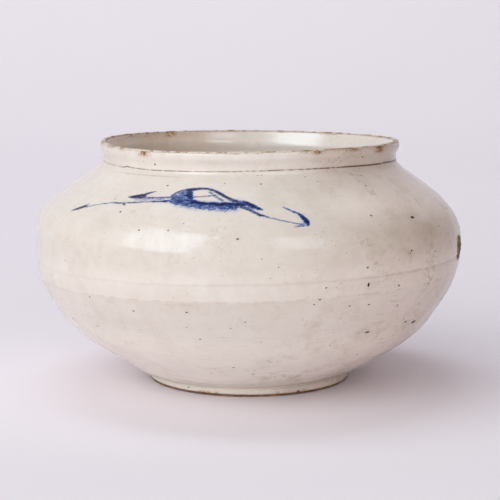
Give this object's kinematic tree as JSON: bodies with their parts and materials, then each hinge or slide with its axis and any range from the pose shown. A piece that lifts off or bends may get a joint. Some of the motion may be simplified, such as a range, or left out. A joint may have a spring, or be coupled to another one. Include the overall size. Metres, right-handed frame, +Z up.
{
  "type": "glazed jar",
  "caption": "Squat white-glazed jar with a wide open mouth, an upright collar, a round belly, a low foot ring and blue brushwork on the shoulder.",
  "frame": {"origin": "on the ground at the centre of the foot ring", "axes": "+Z up along the jar's axis of turning, -Y out of the painted front, +X to the right of the painted front"},
  "size_m": [0.2, 0.2, 0.1134],
  "materials": {
    "clay_body": "bare fired clay, buff with a brown flush at its edges",
    "joint_slip": "fired luting slip, matt",
    "white_glaze": "semi-gloss off-white glaze with iron specks",
    "cobalt_dark": "deep cobalt brushwork under a semi-gloss glaze",
    "cobalt_thin": "thin grey-blue cobalt lines under a semi-gloss glaze",
    "kiln_crust": "rough dark brown crust"
  },
  "bodies": {
    "root": {"foot_ring": "clay_body", "foot_slip": "joint_slip", "lower_bowl": "clay_body", "belly_slip": "joint_slip", "upper_bowl": "clay_body", "neck_slip": "joint_slip", "neck_collar": "clay_body", "outer_glaze": "white_glaze", "inner_glaze": "white_glaze", "base_glaze": "white_glaze", "kiln_scar": "kiln_crust", "brush_wash": "cobalt_dark", "brush_arch": "cobalt_dark", "brush_veins": "cobalt_thin", "brush_side_leaf": "cobalt_dark", "brush_long_stem": "cobalt_dark", "brush_right_leaf": "cobalt_dark", "brush_tail": "cobalt_thin", "brush_hook": "cobalt_dark"}
  },
  "joints": []
}
